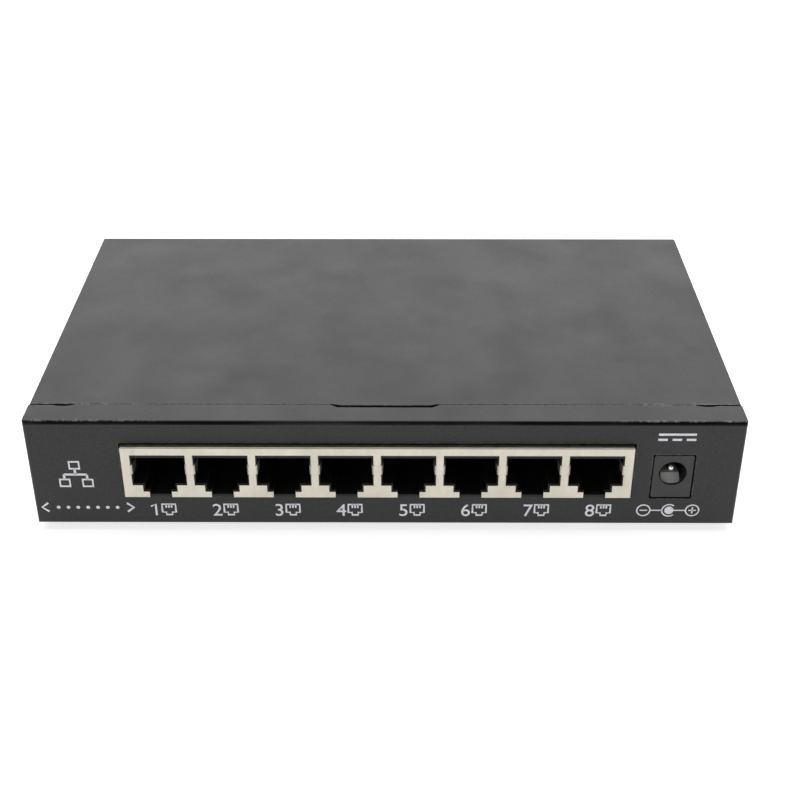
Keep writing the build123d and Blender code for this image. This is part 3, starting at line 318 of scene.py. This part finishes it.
FERRITE = plastic("ferrite", (0.035, 0.034, 0.034), (0.06, 0.058, 0.056), 0.55, 2200.0, 0.015)
CERAMIC = plastic("ceramic_tan", (0.36, 0.26, 0.15), (0.46, 0.34, 0.21), 0.5, 2500.0)
PAINT = powder_coat()
MASK = solder_mask()
LENS = lamp_lens()
INK = ink()

FINISHES = {
    PAINT: ["chassis", "top_cover"],
    NICKEL: ["port_shield"],
    ZINC: ["cover_screws", "board_screws", "standoffs"],
    TIN: ["port_pins", "dc_jack_terminals", "transformer_leads", "switch_chip_leads",
          "small_chip_leads", "lamp_leads"],
    GOLD: [f"port_{i}_contacts" for i in range(1, 9)],
    BRIGHT: ["dc_jack_pin"],
    LEAF: ["dc_jack_spring"],
    CAN: ["capacitor_cans", "crystal"],
    SINK: ["heatsink"],
    HOUSING: ["port_housings"],
    DEEP: ["contact_carriers", "contact_combs"],
    INLET: ["dc_jack_body"],
    EPOXY: ["switch_chip", "line_transformers", "flash_chip", "voltage_regulators", "input_diodes"],
    NYLON: ["capacitor_bases", "lamp_holders"],
    RUBBER: ["rubber_feet"],
    PAD: ["thermal_pad"],
    DISC: ["safety_capacitors"],
    FERRITE: ["power_inductors", "chip_resistors"],
    CERAMIC: ["chip_capacitors"],
    MASK: ["circuit_board"],
    LENS: ["status_lamps"],
}
for finish, names in FINISHES.items():
    for name in names:
        for material_slot in frame["nodes"][name].material_slots:
            material_slot.material = finish


# ---------------------------------------------------------------- printed marks
PRINT_LIFT = 0.012 * MM
PRINT_THICK = 0.02 * MM
PRINT_PITCH = 14.2 * MM  # the numbers are spaced a little wider than the ports
CAPITALS = 0.73  # height of the built-in face's capitals, as a share of its size
HALF_THICK = PRINT_THICK / 2
INK_GROWTH = 0.00002  # ink spreads a little past the digit
REAR_INK_GROWTH = 0.00003
MERGE = 1e-7  # points this near to each other are one

NUMBER_BASE = 2.25 * MM  # over the underside of the case
NUMBER_HEIGHT = 3.45 * MM
NUMBER_LEFT = 3.1 * MM  # from the middle of the port
ONE_STROKE = 0.48 * MM  # the 1 is drawn with a flag, which the built-in face's 1 lacks
ONE = [(0.25 * MM, NUMBER_HEIGHT * 0.74), (1.35 * MM, NUMBER_HEIGHT * 0.93), (1.35 * MM, 0)]
JACK_MARK = 3.1 * MM
JACK_MARK_LEFT = 2.75 * MM  # from the number's left
JACK_MARK_RISE = 0.25 * MM

LEFT_MARKS = 23.2 * MM  # from the middle of port 1
NETWORK_ICON = 7.4 * MM  # width
WIRED_ICON = (21.0 * MM, 2.4 * MM)  # width and height
DC_ICON = (8.4 * MM, 2.1 * MM)
# Each mark's place: across from LEFT_MARKS or from the inlet, and up from the underside of the case.
NETWORK_AT = (0.4 * MM, 10.2 * MM)
WIRED_AT = (-4.6 * MM, 3.3 * MM)
DC_AT = (-4.2 * MM, 22.5 * MM)
POLARITY_AT = (0.15 * MM, 3.95 * MM)

LAMP_PITCH = 8.0 * MM
LAMP_INSET = 1.9 * MM  # from the end of the row of lamps to the middle of its end lamp
LAMP_BASE = 5.2 * MM  # from the middle of the lamps down to the foot of the digits
LAMP_NUMBER_LEFT = 0.75 * MM
LAMP_NUMBER_HEIGHT = 2.2 * MM
POWER_RADIUS = 1.05 * MM
POWER_STROKE = 0.26 * MM


def mesh_object(name, mesh, mat, body=CASE):
    """Links a mesh as a piece of the object."""
    piece = bpy.data.objects.new(name, mesh)
    bpy.context.scene.collection.objects.link(piece)
    mesh.materials.clear()
    mesh.materials.append(mat)
    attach(piece, body)
    return piece


def panel_frame(x, z, rear=False):
    """Places a flat drawing on the port panel, or on the lamp panel, facing outwards."""
    if rear:
        place = Matrix.Translation((x, REAR_Y + PRINT_LIFT, z))
        return place @ Euler((math.radians(90), 0, math.radians(180))).to_matrix().to_4x4()
    place = Matrix.Translation((x, PANEL_Y - PRINT_LIFT, z))
    return place @ Euler((math.radians(90), 0, 0)).to_matrix().to_4x4()


def numeral(name, text, x, z, height, weight, rear=False):
    """A digit as raised ink. Its lower left corner is at x and z, as its reader sees it."""
    curve = bpy.data.curves.new(name, "FONT")
    curve.body = text
    curve.size = height / CAPITALS
    curve.extrude = HALF_THICK
    curve.offset = weight
    curve.resolution_u = 6
    drawn = bpy.data.objects.new(name, curve)
    mesh = bpy.data.meshes.new_from_object(drawn)
    bpy.data.objects.remove(drawn)
    mesh.transform(panel_frame(x, z, rear))
    return mesh_object(name, mesh, INK)


def ribbon(points, width, closed=False):
    """Outline faces of a drawn line of even width, as a list of quads in the plane."""
    count = len(points)
    sides = []
    for i, point in enumerate(points):
        before = points[i - 1] if closed or i > 0 else point
        after = points[(i + 1) % count] if closed or i < count - 1 else point
        along = (Vector(after) - Vector(before)).normalized()
        across = Vector((-along.y, along.x)) * width / 2
        sides.append((Vector(point) + across, Vector(point) - across))
    last = count if closed else count - 1
    return [
        (sides[i][0], sides[i][1], sides[(i + 1) % count][1], sides[(i + 1) % count][0])
        for i in range(last)
    ]


def arc(cx, cz, radius, start=0.0, end=360.0, steps=40):
    turn = [math.radians(start + (end - start) * i / steps) for i in range(steps + 1)]
    points = [(cx + radius * math.cos(a), cz + radius * math.sin(a)) for a in turn]
    return points[:-1] if abs(end - start) >= 360 else points


def drawing(name, polygons, x, z, rear=False):
    """Raised ink from polygons in metres, placed on a panel."""
    mesh = bpy.data.meshes.new(name)
    work = bmesh.new()
    for polygon in polygons:
        front = [work.verts.new((p[0], p[1], HALF_THICK)) for p in polygon]
        face = work.faces.new(front)
        face.normal_update()
        if face.normal.z < 0:
            face.normal_flip()
    bmesh.ops.remove_doubles(work, verts=work.verts, dist=MERGE)
    grown = bmesh.ops.extrude_face_region(work, geom=list(work.faces))
    lowered = [v for v in grown["geom"] if isinstance(v, bmesh.types.BMVert)]
    bmesh.ops.translate(work, verts=lowered, vec=(0, 0, -PRINT_THICK))
    bmesh.ops.recalc_face_normals(work, faces=work.faces)
    work.to_mesh(mesh)
    work.free()
    mesh.transform(panel_frame(x, z, rear))
    return mesh_object(name, mesh, INK)


def jack_pictogram(size):
    """A small outline of a jack's opening with three contact strokes."""
    w, h, line = size, size * 0.94, size * 0.155
    step = h * 0.24
    outline = [
        (0, h), (w, h), (w, step), (w * 0.72, step), (w * 0.72, 0),
        (w * 0.28, 0), (w * 0.28, step), (0, step),
    ]
    shapes = ribbon(outline, line, closed=True)
    for k in (0.3, 0.5, 0.7):
        shapes += ribbon([(w * k, h), (w * k, h * 0.66)], line * 0.8)
    return shapes


def network_icon(width):
    """Three boxes joined as a tree."""
    box_w, line = width * 0.3, width * 0.075
    shapes = []
    for cx, cz in ((0.5, 0.8), (0.15, 0.15), (0.85, 0.15)):
        x0, z0 = width * cx - box_w / 2, width * cz - box_w * 0.42
        x1, z1 = x0 + box_w, z0 + box_w * 0.84
        shapes += ribbon([(x0, z0), (x1, z0), (x1, z1), (x0, z1)], line, closed=True)
    top, mid, low = width * 0.67, width * 0.46, width * 0.28
    shapes += ribbon([(width * 0.5, top), (width * 0.5, mid)], line)
    shapes += ribbon([(width * 0.15, mid), (width * 0.85, mid)], line)
    for side in (0.15, 0.85):
        shapes += ribbon([(width * side, mid), (width * side, low)], line)
    return shapes


def lan_symbol(width, height):
    """Angle brackets round a row of dots: the usual pictogram for a wired network."""
    line, mid = height * 0.22, height / 2
    reach = height * 0.62
    shapes = ribbon([(reach, height), (0, mid), (reach, 0)], line)
    shapes += ribbon([(width - reach, height), (width, mid), (width - reach, 0)], line)
    count = 7
    for i in range(count):
        cx = reach + (width - 2 * reach) * (i + 1) / (count + 1)
        shapes.append([Vector(p) for p in arc(cx, mid, height * 0.18, steps=16)])
    return shapes


def direct_current_symbol(width, height):
    """A solid stroke over a broken one."""
    line = height * 0.27
    shapes = ribbon([(0, height), (width, height)], line)
    dash = width * 0.25
    for k in range(3):
        start = k * (width - dash) / 2
        shapes += ribbon([(start, height * 0.35), (start + dash, height * 0.35)], line)
    return shapes


def polarity_symbol():
    """Centre-positive symbol: minus, sleeve and tip, plus."""
    line, bar = 0.32 * MM, 0.85 * MM
    left, right = -5.85 * MM, 5.3 * MM
    ring, sleeve, tip = 1.5 * MM, 1.62 * MM, 1.05 * MM
    rim = 1.66 * MM  # outside of a ring
    shapes = ribbon(arc(left, 0, ring), line, closed=True)
    shapes += ribbon(arc(right, 0, ring), line, closed=True)
    shapes += ribbon(arc(0.0, 0, sleeve, 50.0, 310.0), line)
    shapes.append([Vector(p) for p in arc(0.0, 0, tip, steps=30)])
    strokes = (
        [(left + rim, 0), (-sleeve, 0)],
        [(tip, 0), (right - rim, 0)],
        [(left - bar, 0), (left + bar, 0)],
        [(right - bar, 0), (right + bar, 0)],
        [(right, -bar), (right, bar)],
    )
    for stroke in strokes:
        shapes += ribbon(stroke, line)
    return shapes


def print_port_panel():
    """Numbers and pictograms on the port side."""
    base = FLOOR_Z + NUMBER_BASE
    first = PORTS[0].x - NUMBER_LEFT
    for i in range(len(PORTS)):
        left = first + PRINT_PITCH * i
        if i == 0:
            drawing("port_number_1", ribbon(ONE, ONE_STROKE), left, base)
        else:
            numeral(f"port_number_{i + 1}", str(i + 1), left, base, NUMBER_HEIGHT, INK_GROWTH)
        pictogram = jack_pictogram(JACK_MARK)
        drawing(f"port_mark_{i + 1}", pictogram, left + JACK_MARK_LEFT, base + JACK_MARK_RISE)
    left = PORTS[0].x - LEFT_MARKS
    inlet = MOUNTS["dc_inlet"].x
    marks = (
        ("network_icon", network_icon(NETWORK_ICON), left, NETWORK_AT),
        ("wired_link_icon", lan_symbol(*WIRED_ICON), left, WIRED_AT),
        ("dc_icon", direct_current_symbol(*DC_ICON), inlet, DC_AT),
        ("polarity_icon", polarity_symbol(), inlet, POLARITY_AT),
    )
    for name, shapes, start, (across, up) in marks:
        drawing(name, shapes, start + across, FLOOR_Z + up)


def print_lamp_panel():
    """A number under each link lamp, and a power mark under the ninth."""
    low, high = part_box("status_lamps")
    first = low.x + LAMP_INSET
    base = (low.z + high.z) / 2 - LAMP_BASE
    for i in range(8):
        left = first + LAMP_PITCH * i + LAMP_NUMBER_LEFT
        name = f"lamp_number_{i + 1}"
        numeral(name, str(i + 1), left, base, LAMP_NUMBER_HEIGHT, REAR_INK_GROWTH, rear=True)
    shapes = ribbon(arc(0, 0, POWER_RADIUS, 125.0, 415.0), POWER_STROKE)
    shapes += ribbon([(0, 0.35 * MM), (0, 1.5 * MM)], POWER_STROKE)
    drawing("power_icon", shapes, high.x - LAMP_INSET, base + 1.0 * MM, rear=True)


print_port_panel()
print_lamp_panel()


# ---------------------------------------------------------------- floor, light and camera
FLOOR_HALF = 6.0  # metres
WORLD_STRENGTH = 0.22
CAMERA_LENS = 60.57  # for a sensor 36 mm wide
CAMERA_X = 4.17 * MM
CAMERA_BACK = 249.36 * MM  # from the port panel
CAMERA_UP = 186.78 * MM  # from the underside of the case
CAMERA_PITCH = 31.586  # degrees, below level
CAMERA_TURN = 0.183  # degrees


def studio_floor():
    """A plain pale sheet that glows softly."""
    mesh = bpy.data.meshes.new("studio_floor")
    half = FLOOR_HALF
    corners = [(-half, -half, 0), (half, -half, 0), (half, half, 0), (-half, half, 0)]
    mesh.from_pydata(corners, [], [(0, 1, 2, 3)])
    floor = bpy.data.objects.new("studio_floor", mesh)
    bpy.context.scene.collection.objects.link(floor)
    mat, tree, shader = new_material(
        "pale_floor", Roughness=0.9, Specular_IOR_Level=0.1, Emission_Strength=0.74,
        Emission_Color=(1.0, 1.0, 1.0),
    )
    tone = ramp(tree, noise(tree, 3.0, 2.0), (0.3, (0.88, 0.88, 0.88)), (0.7, (0.91, 0.91, 0.91)))
    tree.links.new(tone, shader.inputs["Base Color"])
    mesh.materials.append(mat)


def soft_box(name, place, size, power):
    """A lit rectangle that faces the object."""
    light = bpy.data.lights.new(name, "AREA")
    light.shape = "RECTANGLE"
    light.size, light.size_y = size
    light.energy = power
    lamp = bpy.data.objects.new(name, light)
    lamp.location = place
    lamp.rotation_euler = (Vector((0, 0, 0)) - Vector(place)).to_track_quat("-Z", "Y").to_euler()
    bpy.context.scene.collection.objects.link(lamp)


def studio_light():
    """An even pale surround and three soft boxes, the strongest behind."""
    world = bpy.data.worlds.new("studio")
    bpy.context.scene.world = world
    world.use_nodes = True
    background = world.node_tree.nodes["Background"]
    background.inputs["Color"].default_value = (1.0, 1.0, 1.0, 1.0)
    background.inputs["Strength"].default_value = WORLD_STRENGTH
    soft_box("back_box", place=(0.0, 1.5, 1.05), size=(2.6, 1.2), power=25.0)
    soft_box("top_box", place=(0.0, 0.1, 1.4), size=(1.4, 1.0), power=7.0)
    soft_box("front_box", place=(-0.45, -1.3, 0.5), size=(0.5, 0.4), power=0.8)


def camera():
    """The camera stands over the port side, level across, looking down on the case."""
    data = bpy.data.cameras.new("camera")
    data.sensor_width = 36.0
    data.lens = CAMERA_LENS
    data.clip_start = 0.01
    data.clip_end = 20.0
    cam = bpy.data.objects.new("camera", data)
    cam.location = (CAMERA_X, PANEL_Y - CAMERA_BACK, FLOOR_Z + CAMERA_UP)
    cam.rotation_euler = (math.radians(90 - CAMERA_PITCH), 0.0, math.radians(CAMERA_TURN))
    bpy.context.scene.collection.objects.link(cam)
    bpy.context.scene.camera = cam


studio_floor()
studio_light()
camera()
bpy.context.scene.view_settings.view_transform = "Standard"
